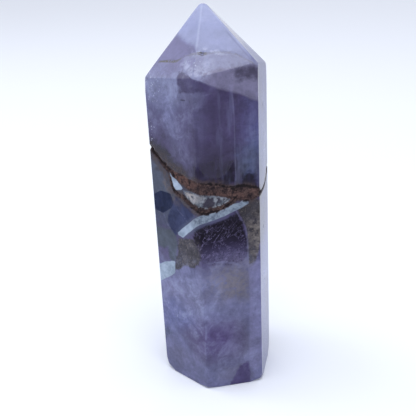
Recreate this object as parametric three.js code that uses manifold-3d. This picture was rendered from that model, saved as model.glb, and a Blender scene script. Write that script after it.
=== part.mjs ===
// A polished chevron amethyst generator: one six-sided quartz tower with a flat cut foot and a
// six-faced point. The whole crystal is one solid. Millimetres, +Z up, with the origin in the
// middle of the foot. An azimuth is 0 at the front (-Y) and grows towards the right (+X).

import * as THREE from "three";
import { ConvexGeometry } from "three/addons/geometries/ConvexGeometry.js";
import { ParametricGeometry } from "three/addons/geometries/ParametricGeometry.js";
import { mergeVertices } from "three/addons/utils/BufferGeometryUtils.js";
import Module from "manifold-3d";

// The tower before its edges are rounded
const CORNER_RADIUS = 12.97; // from the axis to a vertical edge
const FIRST_EDGE = -76.58; // azimuth of the left edge, the others follow every 60 degrees
const POINT = new THREE.Vector3(-0.62, -0.03, 84.9); // the point isn't quite over the middle

// Each vertical edge from the left one round: how far hand grinding moved it along X and Y from the
// even hexagon, the height of the shoulder corner where the point's facets start, and how round the
// polish left its corner of the foot.
const EDGES = [
  { name: "left", x: -0.16, y: 0.13, shoulder: 70.2, foot: 1.6 },
  { name: "front left", x: 0.49, y: 0.12, shoulder: 71.6, foot: 0.8 },
  { name: "front right", x: 0.58, y: -0.55, shoulder: 73.7, foot: 1.3 },
  { name: "right", x: -0.25, y: -0.22, shoulder: 71.2, foot: 1.4 },
  { name: "back right", x: 0, y: 0, shoulder: 71.8, foot: 1.1 },
  { name: "back left", x: 0, y: 0, shoulder: 71.8, foot: 1.5 },
];
const LEFT_LEAN = new THREE.Vector3(-0.45, 0.43, 0); // how far the left edge leans out at the top

// Rounding left by the polish. The shoulder's corners and the point are blunt. The edges are sharper,
// from this far along each edge.
const TOP_RADIUS = 1.2;
const CORNER_STEPS = 5; // flat strips across a rounded corner
const EDGE_RADIUS = 0.3;
const EDGE_BLEND = 2.6;
const EDGE_STEPS = 3;

// A trough's stops are azimuth, height and width. Its floor is the share of the width left at full
// depth, ragged is how much the width and depth wander, and a ring meets its own beginning.

// The weathered iron-stained vein, which runs all the way round
const VEIN = {
  depth: 0.28,
  floor: 0.6,
  ragged: 0.22,
  ring: true,
  stops: [
    [-78, 55.4, 0.9],
    [-68, 53.4, 0.8],
    [-57, 51.8, 1.1],
    [-48, 50.8, 1.5],
    [-36, 50.1, 2.1],
    [-25, 49.6, 2.3],
    [-15, 49.2, 2.6],
    [2, 48.6, 2.6],
    [14, 47.8, 2.7],
    [26, 47.2, 3.0],
    [38, 46.9, 2.9],
    [44, 46.8, 1.4],
    [50, 46.3, 0.6],
    [62, 45.9, 0.5],
    [78, 45.9, 0.5],
    [90, 46.9, 0.6],
    [103, 48.6, 0.8],
    [130, 49.6, 1.3],
    [160, 50.6, 1.0],
    [200, 52.2, 1.5],
    [230, 53.9, 1.1],
    [262, 55.1, 0.8],
    [282, 55.4, 0.9],
  ],
};

// The second arm of the vein, which leaves it on the left wall and meets it again at the front
const LOWER_ARM = {
  depth: 0.2,
  floor: 0.6,
  ragged: 0.22,
  stops: [
    [-52.5, 50.2, 0.5],
    [-50.6, 48.0, 0.6],
    [-47, 47.0, 0.7],
    [-38, 46.5, 0.8],
    [-27, 45.4, 0.9],
    [-18, 44.6, 1.0],
    [-8, 44.0, 1.0],
    [2, 44.2, 1.0],
    [12, 44.8, 0.9],
    [20, 45.8, 0.8],
    [25, 46.6, 0.7],
  ],
};

// The healed break that comes out just above the shoulder
const SHOULDER_CRACK = {
  depth: 0.18,
  floor: 0.1,
  ragged: 0.3,
  stops: [
    [-76, 73.4, 0.3],
    [-60, 73.8, 0.4],
    [-46, 74.0, 0.4],
    [-34, 75.0, 0.3],
    [-15, 75.8, 0.4],
    [-6, 75.6, 0.5],
    [7, 75.8, 0.3],
    [29, 75.6, 0.4],
    [35, 74.9, 0.3],
    [41, 73.7, 0.3],
  ],
};

// Short hairlines on the walls
const HAIRLINE = { depth: 0.15, floor: 0.1, ragged: 0.2 };
const HAIRLINES = [
  { ...HAIRLINE, stops: [[-34, 67.2, 0.25], [-27, 67.0, 0.3], [-15, 67.0, 0.2]] },
  { ...HAIRLINE, stops: [[120, 30.5, 0.25], [135, 28.6, 0.3], [150, 28.9, 0.2]] },
  { ...HAIRLINE, stops: [[212, 62.5, 0.2], [226, 60.8, 0.3], [240, 60.4, 0.2]] },
];

// Chips and pits: where they are, their half sizes along the surface and their depth
const CHIPS = [
  { at: [-7.5, 75.7], across: 0.55, up: 0.35, deep: 0.3 },
  { at: [-78, 55.6], across: 0.8, up: 0.45, deep: 0.4 },
  { at: [100, 47.3], across: 0.7, up: 0.35, deep: 0.3 },
  { at: [-76, 60.0], across: 0.35, up: 0.5, deep: 0.16 },
  { at: [-75, 58.2], across: 0.4, up: 0.4, deep: 0.18 },
  { at: [-77, 19.3], across: 0.3, up: 0.35, deep: 0.2 },
  { at: [-76, 8.3], across: 0.5, up: 0.7, deep: 0.25 },
  { at: [72, 63.9], across: 0.16, up: 0.16, deep: 0.15 },
  { at: [66, 37.0], across: 0.14, up: 0.14, deep: 0.15 },
  { at: [51, 36.7], across: 0.2, up: 0.14, deep: 0.15 },
  { at: [163, 12.5], across: 0.4, up: 0.6, deep: 0.2 },
  { at: [223, 68.0], across: 0.5, up: 0.4, deep: 0.25 },
];

// Weathered pits along the vein, and a drift of small ones low on the left wall
const VEIN_PITS = { count: 34, size: 0.3, deep: 0.4, spread: 0.45 };
const PIT_DRIFT = { count: 9, from: [-75, 19.0], to: [-63, 15.2], size: 0.13, deep: 0.12 };

const LIFT = 0.5; // how far a trough's cutter stands out of the stone
const TROUGH_STEP = 1.1; // spacing of the sections along a trough
const SECTION_CORNERS = 4;
const MERGE = 1e-3; // corners closer than this are one
const FIRST_SEED = 11; // starts the repeatable random numbers

const toRadians = THREE.MathUtils.degToRad;
const MM_PER_DEGREE = toRadians(1) * CORNER_RADIUS; // round the tower

function outward(azimuth) {
  const angle = toRadians(azimuth);
  return new THREE.Vector3(Math.sin(angle), -Math.cos(angle), 0);
}

function facePlane(a, b, c) {
  const plane = new THREE.Plane().setFromCoplanarPoints(a, b, c);
  const middle = new THREE.Vector3(0, 0, POINT.z / 2);
  return plane.distanceToPoint(middle) > 0 ? plane.negate() : plane;
}

// The foot, six walls and six facets, as planes that face out
function towerPlanes() {
  const feet = EDGES.map(({ x, y }, i) =>
    outward(FIRST_EDGE + 60 * i).multiplyScalar(CORNER_RADIUS).add(new THREE.Vector3(x, y, 0)),
  );
  const shoulders = EDGES.map(({ shoulder }, i) => feet[i].clone().setZ(shoulder));
  shoulders[0].add(LEFT_LEAN);
  const planes = [new THREE.Plane(new THREE.Vector3(0, 0, -1), 0)];
  for (let i = 0; i < EDGES.length; i += 1) {
    const next = (i + 1) % EDGES.length;
    planes.push(facePlane(feet[i], feet[next], shoulders[next]));
    planes.push(facePlane(shoulders[i], shoulders[next], POINT));
  }
  return planes;
}

function meetingPoint([a, b, c]) {
  const bc = new THREE.Vector3().crossVectors(b.normal, c.normal);
  const across = a.normal.dot(bc);
  if (Math.abs(across) < 1e-6) return null;
  const ca = new THREE.Vector3().crossVectors(c.normal, a.normal);
  const ab = new THREE.Vector3().crossVectors(a.normal, b.normal);
  return bc
    .multiplyScalar(-a.constant)
    .addScaledVector(ca, -b.constant)
    .addScaledVector(ab, -c.constant)
    .divideScalar(across);
}

function movedIn(planes, distance) {
  return planes.map((plane) => new THREE.Plane(plane.normal, plane.constant + distance));
}

// The planes move in by a radius: wherever three of them meet is the middle of a ball of that
// radius that touches the three faces
function ballMiddles(planes, radius) {
  const inner = movedIn(planes, radius);
  const found = [];
  for (let i = 0; i < inner.length; i += 1) {
    for (let j = i + 1; j < inner.length; j += 1) {
      for (let k = j + 1; k < inner.length; k += 1) {
        const middle = meetingPoint([inner[i], inner[j], inner[k]]);
        if (!middle || inner.some((plane) => plane.distanceToPoint(middle) > 1e-6)) continue;
        found.push({ middle, faces: [i, j, k] });
      }
    }
  }
  return found;
}

// Points on a ball between the places where it touches two or three faces
function ballPart(middle, radius, [a, b, c], steps) {
  const points = [];
  for (let p = 0; p <= steps; p += 1) {
    for (let q = c ? 0 : steps - p; q <= steps - p; q += 1) {
      const direction = new THREE.Vector3().addScaledVector(a, p).addScaledVector(b, q);
      if (c) direction.addScaledVector(c, steps - p - q);
      points.push(middle.clone().addScaledVector(direction.normalize(), radius));
    }
  }
  return points;
}

// A foot corner lies between the foot and the two walls that meet at its edge
function footCorners(planes) {
  const [foot, ...others] = planes;
  const walls = others.filter((_, i) => i % 2 === 0);
  return EDGES.flatMap(({ foot: radius }, i) => {
    const faces = [foot, walls[i], walls[(i + walls.length - 1) % walls.length]];
    const middle = meetingPoint(movedIn(faces, radius));
    return ballPart(middle, radius, faces.map(({ normal }) => normal), CORNER_STEPS);
  });
}

function topCorners(planes) {
  return ballMiddles(planes, TOP_RADIUS)
    .filter(({ middle }) => middle.z > POINT.z / 2)
    .flatMap(({ middle, faces }) =>
      ballPart(middle, TOP_RADIUS, faces.map((i) => planes[i].normal), CORNER_STEPS),
    );
}

function farthest(from, points) {
  return points.reduce((best, p) => (from.distanceTo(p) > from.distanceTo(best) ? p : best));
}

// The two ends of each long edge's narrow rounding
function roundedEdges(planes) {
  const edges = new Map();
  for (const { middle, faces: [i, j, k] } of ballMiddles(planes, EDGE_RADIUS)) {
    for (const pair of [[i, j], [i, k], [j, k]]) {
      const key = pair.join();
      if (!edges.has(key)) edges.set(key, { pair, middles: [] });
      edges.get(key).middles.push(middle);
    }
  }
  return [...edges.values()].flatMap(({ pair, middles }) => {
    const first = farthest(middles[0], middles);
    const last = farthest(first, middles);
    const length = first.distanceTo(last);
    if (length < 2 * EDGE_BLEND) return [];
    const normals = pair.map((i) => planes[i].normal);
    return [[first, last], [last, first]].flatMap(([near, far]) => {
      const middle = near.clone().lerp(far, EDGE_BLEND / length);
      return ballPart(middle, EDGE_RADIUS, normals, EDGE_STEPS);
    });
  });
}

const planes = towerPlanes();
const tower = new THREE.Mesh(
  new ConvexGeometry([...footCorners(planes), ...topCorners(planes), ...roundedEdges(planes)]),
);

// The point of the tower's surface at an azimuth and a height, and its outward normal
const caster = new THREE.Raycaster();
function surfaceAt(azimuth, height) {
  const direction = outward(azimuth);
  const outside = direction.clone().multiplyScalar(3 * CORNER_RADIUS).setZ(height);
  caster.set(outside, direction.clone().negate());
  const [hit] = caster.intersectObject(tower);
  return { point: hit.point, normal: hit.face.normal.clone() };
}

const wasm = await Module();
wasm.setup();

// A closed geometry as a solid: corners that meet are merged and triangles without area are dropped
function solid(geometry) {
  const bare = geometry.clone();
  bare.deleteAttribute("normal");
  bare.deleteAttribute("uv");
  const merged = mergeVertices(bare, MERGE);
  const corners = merged.index.array;
  const triangles = [];
  for (let i = 0; i < corners.length; i += 3) {
    const [a, b, c] = corners.slice(i, i + 3);
    if (a !== b && b !== c && c !== a) triangles.push(a, b, c);
  }
  const mesh = new wasm.Mesh({
    numProp: 3,
    vertProperties: merged.attributes.position.array,
    triVerts: new Uint32Array(triangles),
  });
  return new wasm.Manifold(mesh);
}

let seed = FIRST_SEED;
function random(low, high) {
  seed += 1;
  return low + (high - low) * THREE.MathUtils.seededRandom(seed);
}

// The middle line of a trough, in millimetres round the tower and up it, with its width as z
function routeOf(stops) {
  const places = stops.map(([azimuth, height, width]) =>
    new THREE.Vector3(azimuth * MM_PER_DEGREE, height, width),
  );
  return new THREE.CatmullRomCurve3(places);
}

// A trough's cutter is one swept skin: a section with a wide top outside the stone and a narrower
// floor inside it. It closes into a ring, or runs out to a point at both ends.
function trough({ stops, depth, floor, ragged, ring = false }) {
  const route = routeOf(stops);
  const count = Math.max(4, Math.round(route.getLength() / TROUGH_STEP));
  const places = route.getSpacedPoints(count);
  const surface = places.map(({ x, y }) => surfaceAt(x / MM_PER_DEGREE, y));
  const sections = surface.map(({ point, normal }, i) => {
    const before = surface[i > 0 ? i - 1 : ring ? count - 1 : 0].point;
    const after = surface[i < count ? i + 1 : ring ? 1 : count].point;
    const side = new THREE.Vector3().subVectors(after, before).cross(normal).normalize();
    const atEnd = !ring && (i === 0 || i === count);
    const half = (places[i].z / 2) * random(1 - ragged, 1 + ragged);
    const deep = depth * random(1 - ragged, 1 + ragged);
    const top = half + half * (1 - floor) * (LIFT / deep);
    const corners = [[-top, LIFT], [top, LIFT], [half * floor, -deep], [-half * floor, -deep]];
    return corners.map(([across, up]) =>
      atEnd ? point : point.clone().addScaledVector(side, across).addScaledVector(normal, up),
    );
  });
  if (ring) sections[count] = sections[0];
  const skin = (u, v, target) => {
    const corner = Math.round(u * SECTION_CORNERS) % SECTION_CORNERS;
    target.copy(sections[Math.round(v * count)][corner]);
  };
  return solid(new ParametricGeometry(skin, SECTION_CORNERS, count));
}

// A chip or pit: a rough ball pressed into the surface, flat sided as broken quartz is
function chip({ at, across, up, deep }) {
  const { point, normal } = surfaceAt(...at);
  const shape = new THREE.IcosahedronGeometry(1, 0);
  const place = new THREE.Object3D();
  place.position.copy(point);
  place.up.set(0, 0, 1);
  place.lookAt(point.clone().add(normal));
  place.rotateZ(random(-0.4, 0.4));
  place.scale.set(across, up, deep);
  place.updateMatrix();
  return solid(shape.applyMatrix4(place.matrix));
}

function veinPits() {
  const { count, size: typical, deep, spread } = VEIN_PITS;
  const route = routeOf(VEIN.stops);
  return Array.from({ length: count }, (_, i) => {
    const { x, y, z } = route.getPointAt((i + random(0.1, 0.9)) / count);
    const size = typical * random(0.6, 1.3);
    return chip({
      at: [x / MM_PER_DEGREE, y + random(-spread, spread) * z],
      across: size * random(1, 1.8),
      up: size * 0.8,
      deep: deep * random(0.7, 1.2),
    });
  });
}

function pitDrift() {
  const { count, from, to, size, deep } = PIT_DRIFT;
  return Array.from({ length: count }, (_, i) => {
    const share = (i + random(0.1, 0.9)) / count;
    return chip({
      at: [
        THREE.MathUtils.lerp(from[0], to[0], share),
        THREE.MathUtils.lerp(from[1], to[1], share) + random(-0.5, 0.5),
      ],
      across: size * random(0.8, 1.6),
      up: size * random(0.8, 1.6),
      deep,
    });
  });
}

const troughs = [VEIN, LOWER_ARM, SHOULDER_CRACK, ...HAIRLINES].map(trough);
const hollows = [...troughs, ...CHIPS.map(chip), ...veinPits(), ...pitDrift()];
const carved = solid(tower.geometry).subtract(wasm.Manifold.union(hollows)).getMesh();

const crystalGeometry = new THREE.BufferGeometry();
crystalGeometry.setAttribute("position", new THREE.BufferAttribute(carved.vertProperties, 3));
crystalGeometry.setIndex(new THREE.BufferAttribute(carved.triVerts, 1));
crystalGeometry.computeVertexNormals();

const crystal = new THREE.Mesh(
  crystalGeometry,
  new THREE.MeshStandardMaterial({ color: 0x6b6796, roughness: 0.12, metalness: 0 }),
);
crystal.name = "crystal";

const generator = new THREE.Group();
generator.add(crystal);

export default generator;
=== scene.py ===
import itertools
import math
import random

import bmesh
import bpy
import numpy as np
from mathutils import Euler, Matrix, Vector, noise
from mathutils.bvhtree import BVHTree


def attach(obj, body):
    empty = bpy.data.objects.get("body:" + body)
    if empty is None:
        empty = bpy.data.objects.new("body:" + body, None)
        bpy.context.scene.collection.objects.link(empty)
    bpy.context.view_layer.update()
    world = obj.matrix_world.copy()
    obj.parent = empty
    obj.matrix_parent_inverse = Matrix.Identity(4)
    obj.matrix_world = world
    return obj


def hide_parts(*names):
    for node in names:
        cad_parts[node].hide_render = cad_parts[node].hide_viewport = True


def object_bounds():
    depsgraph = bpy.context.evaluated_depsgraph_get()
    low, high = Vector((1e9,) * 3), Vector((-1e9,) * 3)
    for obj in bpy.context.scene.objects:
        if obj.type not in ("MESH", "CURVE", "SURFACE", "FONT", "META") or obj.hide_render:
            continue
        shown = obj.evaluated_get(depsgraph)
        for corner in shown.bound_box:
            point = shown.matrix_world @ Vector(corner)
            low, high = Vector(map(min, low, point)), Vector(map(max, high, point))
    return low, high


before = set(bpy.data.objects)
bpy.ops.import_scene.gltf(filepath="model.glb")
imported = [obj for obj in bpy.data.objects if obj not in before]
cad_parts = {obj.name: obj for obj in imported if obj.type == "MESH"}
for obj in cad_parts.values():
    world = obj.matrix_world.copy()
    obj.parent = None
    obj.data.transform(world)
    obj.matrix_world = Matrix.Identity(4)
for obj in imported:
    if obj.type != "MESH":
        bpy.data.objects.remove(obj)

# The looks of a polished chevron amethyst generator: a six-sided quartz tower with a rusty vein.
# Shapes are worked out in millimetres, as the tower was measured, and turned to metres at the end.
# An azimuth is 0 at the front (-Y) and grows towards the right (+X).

cad_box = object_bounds()

MM = 0.001

# The tower before its edges are rounded. Its corners are hand ground, so each is moved a little from
# the even hexagon along X and Y, and the left edge leans out by LEFT_LEAN at the shoulder.
CORNER_RADIUS = 12.97
FIRST_EDGE = -76.58
POINT = Vector((-0.62, -0.03, 84.9))
CORNER_MOVES = [(-0.16, 0.13), (0.49, 0.12), (0.58, -0.55), (-0.25, -0.22), (0, 0), (0, 0)]
LEFT_LEAN = Vector((-0.45, 0.43, 0))
SHOULDERS = [70.2, 71.6, 73.7, 71.2, 71.8, 71.8]
MEAN_SHOULDER = sum(SHOULDERS) / 6

# How round the polish left the foot's corners, those at the shoulder with the point, and the edges,
# which are sharper from EDGE_BLEND along them
FOOT_RADII = [1.6, 0.8, 1.3, 1.4, 1.1, 1.5]
TOP_RADIUS = 1.2
EDGE_RADIUS = 0.3
EDGE_BLEND = 2.6
ROUNDING_STEPS = 12

# Troughs in the surface, along the same routes as the solid has. A stop is azimuth, height and width.
VEIN = [
    (-78, 55.4, 0.9), (-68, 53.4, 0.8), (-57, 51.8, 1.1), (-48, 50.8, 1.5), (-36, 50.1, 2.1),
    (-25, 49.6, 2.3), (-15, 49.2, 2.6), (2, 48.6, 2.6), (14, 47.8, 2.7), (26, 47.2, 3), (38, 46.9, 2.9),
    (44, 46.8, 1.4), (50, 46.3, 0.6), (62, 45.9, 0.5), (78, 45.9, 0.5), (90, 46.9, 0.6), (103, 48.6, 0.8),
    (130, 49.6, 1.3), (160, 50.6, 1), (200, 52.2, 1.5), (230, 53.9, 1.1), (262, 55.1, 0.8),
    (282, 55.4, 0.9),
]
LOWER_ARM = [
    (-52.5, 50.2, 0.5), (-50.6, 48, 0.6), (-47, 47, 0.7), (-38, 46.5, 0.8), (-27, 45.4, 0.9),
    (-18, 44.6, 1), (-8, 44, 1), (2, 44.2, 1), (12, 44.8, 0.9), (20, 45.8, 0.8), (25, 46.6, 0.7),
]
SHOULDER_CRACK = [
    (-76, 73.4, 0.3), (-60, 73.8, 0.4), (-46, 74, 0.4), (-34, 75, 0.3), (-15, 75.8, 0.4), (-6, 75.6, 0.5),
    (7, 75.8, 0.3), (29, 75.6, 0.4), (35, 74.9, 0.3), (41, 73.7, 0.3),
]
HAIRLINES = [
    [(-34, 67.2, 0.25), (-27, 67, 0.3), (-15, 67, 0.2)],
    [(120, 30.5, 0.25), (135, 28.6, 0.3), (150, 28.9, 0.2)],
    [(212, 62.5, 0.2), (226, 60.8, 0.3), (240, 60.4, 0.2)],
]

# Chips: azimuth, height, half width, half height and depth
CHIPS = [
    (-7.5, 75.7, 0.55, 0.35, 0.3), (-78, 55.6, 0.8, 0.45, 0.4), (100, 47.3, 0.7, 0.35, 0.3),
    (-76, 60, 0.35, 0.5, 0.16), (-75, 58.2, 0.4, 0.4, 0.18), (-77, 19.3, 0.3, 0.35, 0.2),
    (-76, 8.3, 0.5, 0.7, 0.25), (72, 63.9, 0.16, 0.16, 0.15), (66, 37, 0.14, 0.14, 0.15),
    (51, 36.7, 0.2, 0.14, 0.15), (163, 12.5, 0.4, 0.6, 0.2), (223, 68, 0.5, 0.4, 0.25),
]

# The markings follow. A route's stops are azimuth, height and width, and an outline's corners are
# azimuth and height. Those from about 45 round to 280 are on walls that hold more of the same.

# White quartz with cut ends: the bar across both front walls, and the sliver beside the vein
WHITE_BARS = [
    [(-48.4, 37.2), (-39.7, 38.8), (-30, 40.4), (-22.5, 41.8), (-14.4, 43.1), (-4.6, 43.4), (5.8, 43.8),
     (14.3, 44.4), (19.5, 45), (26.5, 45.1), (28.5, 45.5), (33.6, 45.4), (34.9, 44.8), (26.4, 43.8),
     (19.2, 43.3), (11.8, 42.6), (1.2, 42), (-7.9, 41.5), (-14.3, 41.2), (-19.1, 40.4), (-24.7, 39.3),
     (-30.7, 38.2), (-39, 36.7)],
    [(-55.6, 51.2), (-50.6, 50.2), (-45.2, 49.8), (-37.2, 48.8), (-35.1, 48.2), (-37.6, 47.8),
     (-45.8, 47.4), (-49.2, 47.9), (-51.2, 49.2)],
    [(107, 35.2), (115, 36.9), (124, 38.8), (131, 40.4), (139, 41.4), (149, 42.7), (158, 43.6),
     (161, 42.7), (156, 41.2), (147, 40.3), (138, 39.2), (132, 38.8), (124, 37.2), (116, 35.4),
     (108, 34.2)],
    [(172, 45.4), (180, 44.4), (189, 43.6), (197, 42.4), (204, 41), (211, 40.2), (218, 38.9), (219, 37.2),
     (212, 38), (205, 38.6), (197, 40.2), (192, 41.5), (184, 42.1), (178, 42.5), (172, 43.9)],
    [(234, 37), (243, 38.4), (250, 40.6), (258, 41.6), (259, 40.2), (253, 38.9), (245, 36.6), (236, 35.8)],
]
WHITE_PATCH = [
    (-79.4, 28.1), (-76.3, 28), (-68.9, 29.2), (-54.7, 30.2), (-55.3, 27.2), (-63.5, 25.9), (-79.4, 23.3),
]
LENS = [
    (-33.1, 47.6), (-24.6, 47.9), (-14.8, 47.8), (-3.8, 47.4), (8.3, 46.8), (16.5, 46.2), (15.5, 45.6),
    (10.1, 45), (0.6, 44.5), (-9.2, 44.3), (-17.7, 45), (-27.9, 46.2),
]
LENS_SPOTS = [
    [(-11.6, 46.2), (-9, 46.8), (-3, 46.9), (1.2, 46.2), (0.6, 44.7), (-6, 44.4), (-10.4, 44.8)],
    [(2, 47.1), (7.2, 46.9), (7.6, 46.1), (3.4, 45.6)],
    [(9.2, 46.9), (15.8, 46.6), (15.5, 45.9), (9.2, 45.8)],
]

# Brown clouded quartz
BROWN = [
    [(-46.4, 36.4), (-36, 36.6), (-25.4, 37.2), (-15.3, 36.8), (-14.6, 34.2), (-17.6, 32.2), (-27.7, 30.2),
     (-38.4, 29.9), (-54, 28), (-53.9, 30), (-48.4, 33.3)],
    [(24, 43.6), (28.5, 44.9), (36, 45.2), (44, 45.4), (47, 41), (45, 36), (41, 32.2), (38, 30.6),
     (33.6, 30.2), (32.9, 33), (32.4, 37.4), (30.2, 40.2), (27.1, 41.6)],
    [(127, 42.8), (138, 43.6), (150, 43.9), (160, 45.2), (167, 47.2), (160, 49.6), (154, 47.6),
     (146, 48.6), (138, 46), (130, 45.4)],
    [(223, 33.6), (231, 35), (241, 36), (251, 38), (259, 39.6), (263, 37.6), (257, 34.6), (247, 33.6),
     (239, 31.8), (231, 31.6), (223, 29.8)],
]

# Near-black amethyst under the bar and against the vein
NIGHT = [
    [(-19.1, 40.2), (-14.3, 40.9), (-7.9, 41.1), (1.2, 41.6), (11.8, 42.2), (19.2, 43), (23.4, 43),
     (26.8, 41.6), (29.9, 39.8), (31.8, 37.8), (32.6, 35.4), (32.4, 32.4), (24, 31), (14, 31.4), (3, 31.6),
     (-7, 31.8), (-14, 33.4), (-18, 36), (-23.4, 38.2)],
    [(122, 36.4), (132, 38.4), (139, 38.9), (148, 40), (161, 41.4), (161, 37.6), (150, 35), (141, 32.2),
     (126, 33.4)],
    [(174, 42.8), (184, 41.8), (192, 41), (198, 39.6), (206, 38.2), (205, 35.4), (198, 34), (189, 36.2),
     (178, 36.8)],
]
DARK_BY_VEIN = [
    [(27, 48.6), (27.5, 50.4), (31, 51.6), (37.5, 52.4), (41.5, 50.4), (42.5, 48), (34, 47.6)],
    [(-17.5, 50), (-17, 53), (-14, 54.4), (-11.5, 53), (-7, 51.4), (4, 51), (14, 51.8), (21.5, 54.2),
     (22.2, 49.6), (8, 49)],
    [(118, 50.2), (132, 51.6), (150, 53.4), (160, 52), (146, 50)],
    [(192, 52), (206, 52.8), (221, 54.4), (220, 57.6), (208, 56.6), (196, 54.6)],
]

# Grey stain that has soaked out of the vein
HALO = [
    [(-80, 57.2), (-71, 57), (-51.3, 55.2), (-43, 53.3), (-35.5, 52.4), (-26, 51), (-36, 50.4),
     (-48, 50.8), (-57, 51.8), (-70, 53.9), (-80, 55.2)],
    [(190, 53.6), (205, 55), (226, 56.4), (246, 57), (250, 55.2), (228, 54), (206, 52.6)],
]

# Blue quartz on the left wall: a dark six-sided patch, slate blue right of it and green grey below
HEXAGON = [
    (-81, 44.4), (-69.5, 46.2), (-55, 46.2), (-50.4, 44.4), (-54.6, 42.9), (-68, 41), (-81, 41.4),
]
SLATE = [
    [(-59.6, 41.4), (-54.6, 42.9), (-51.2, 44.5), (-46.2, 46.2), (-36, 44.8), (-24, 43.6), (-20.2, 42.6),
     (-26.8, 41.3), (-38, 39.1), (-50.4, 36.6), (-58.6, 38), (-62, 39.6)],
    [(223, 43.4), (232, 41), (247, 43.2), (253, 46.4), (243, 48), (238, 51.6), (223, 49.6)],
]
GREEN_GREY = [
    [(-79, 37.2), (-59.3, 37.5), (-50.8, 36.8), (-48.9, 33.6), (-54.4, 30.2), (-62.4, 30.4), (-64.3, 33),
     (-79, 32.6)],
    [(258, 41), (270, 42), (281, 39.6), (281, 33), (266, 31.4), (262, 35.4)],
]

# Violet blocks with straight sides under the shoulder
BLOCKS = [
    [(-34.4, 72.4), (-17.3, 72), (-8.3, 71), (0.4, 70.1), (-0.6, 68.6), (-8.7, 69), (-17.9, 68.8),
     (-34, 68.4)],
    [(9.1, 69.3), (20.4, 68.8), (20.9, 66.6), (15, 66.2), (11.9, 67.8)],
    [(104, 71.8), (118, 71.6), (134, 70.2), (132, 66.6), (118, 67.6), (104, 67.2)],
    [(224, 71.6), (240, 71.8), (257, 70.6), (252, 67), (238, 67.4), (224, 66.2)],
]

# The healed break behind the shoulder mirrors the light, and that is a painted reflection down to this
# line on the walls, less below the fold and least in its right end, and the facet left of it is darker
# under a slanting line
MIRROR = [
    [(-32.8, 74.6), (-30.5, 73.6), (-25.8, 72.9), (-17.4, 71.8), (-8.3, 71.1), (0.6, 70.2), (10.2, 69.5),
     (19.9, 68.9), (29.1, 68.1), (45, 66.8), (47, 73.4), (41, 73.8), (39.3, 74.2), (34.7, 75),
     (29.2, 75.6), (14.6, 75.7), (-3, 75.8), (-15, 75.9), (-24, 75.6)],
    [(164, 74.8), (180, 73.6), (197, 71.9), (212, 70.4), (223, 69.4), (233, 70), (243, 71.6), (248, 73.6),
     (240, 75.2), (223, 75.6), (206, 75.8), (186, 76.4), (168, 76.8)],
]
LOW_MIRROR = [
    (-9, 71.6), (-5.6, 72.3), (6.4, 72.9), (16.3, 73), (25, 73.2), (33.9, 73.2), (38, 73.4), (45, 72.8),
    (47, 66.4), (29.1, 67.9), (10.2, 69.3), (-2, 70.3),
]
DIM_MIRROR = [
    (24.6, 73.3), (30.5, 73.2), (35.5, 72.5), (41, 72.9), (47, 72.4), (47, 70.4), (36.2, 70.8),
    (29.4, 70.6), (24.5, 71.2),
]
FACET_SHADE = [
    [(-82, 79), (-73.9, 78.3), (-58.7, 77.9), (-43.6, 77.5), (-30.8, 77.2), (-20.6, 76.8), (-15.2, 76.5),
     (-15.4, 75.9), (-24, 75.6), (-33, 74.8), (-30, 73), (-50, 71.4), (-82, 70.8)],
    [(104, 78), (122, 77.8), (146, 77.2), (163, 76.6), (163, 74.6), (146, 73.2), (104, 72)],
]

# Lilac quartz low beside the front right edge, and violet corners of the foot
LILAC = [
    [(33.4, 29.8), (38, 30.4), (42.7, 31.4), (50, 26), (47, 12), (43, 4), (32.6, 4.6), (33, 14),
     (33.8, 24)],
    [(262, 20.4), (272, 22.2), (280, 12), (272, 4), (262, 7)],
]
FOOT_VIOLET = [
    [(8, -0.5), (13, 1.6), (19.5, 4.2), (25.2, 5.3), (31.1, 6), (31, -0.5)],
    [(131, -0.5), (139, 3.6), (149, 7.4), (157, 7.8), (163, 6.8), (163, -0.5)],
    [(224, 10.4), (231, 9.8), (239, 5.8), (249, 2.6), (252, -0.5), (224, -0.5)],
]

# Thin pale lines where healed cracks meet the surface
PALE_LINES = [
    [(23, 43.3, 0.3), (24.3, 42.6, 0.25), (27.1, 41.4, 0.2), (29.9, 40.4, 0.2), (31.6, 38.8, 0.2),
     (32.8, 36.4, 0.2), (33.1, 34, 0.2), (32.9, 31.7, 0.15), (33.2, 29.7, 0.1), (34.2, 26, 0.05)],
    [(-79, 41.5, 0.2), (-70.8, 41, 0.25), (-66.8, 40.8, 0.25), (-64.5, 39.5, 0.2), (-61.9, 38.5, 0.2),
     (-57.7, 37.8, 0.2), (-53.1, 37.3, 0.15)],
    [(-45.5, 43, 0.12), (-37.1, 42, 0.2), (-31.5, 40.9, 0.15)],
    [(20.8, 69, 0.2), (22.3, 66.8, 0.2), (23.2, 62.8, 0.1), (23, 56.6, 0.1), (23.2, 50.2, 0.1)],
    [(-25.5, 67.2, 0.1), (-14, 67.6, 0.1), (-4.5, 68.2, 0.15), (8, 69, 0.1)],
    [(-13.3, 32.8, 0.3), (-6.8, 31.9, 0.5), (5.7, 31.9, 0.5), (16.5, 31.5, 0.5), (24.9, 30.6, 0.4)],
    [(-14.5, 18.5, 0.2), (-13.6, 14.7, 0.3), (-15.4, 11.5, 0.3), (-14.6, 8.2, 0.2)],
    [(108, 66, 0.2), (126, 62, 0.3), (139, 60.8, 0.2), (152, 57.6, 0.2)],
    [(186, 30, 0.2), (204, 27.4, 0.3), (216, 22, 0.3), (220, 12, 0.2)],
    [(244, 62, 0.2), (248, 50.6, 0.3), (246, 43, 0.2)],
]

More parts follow.
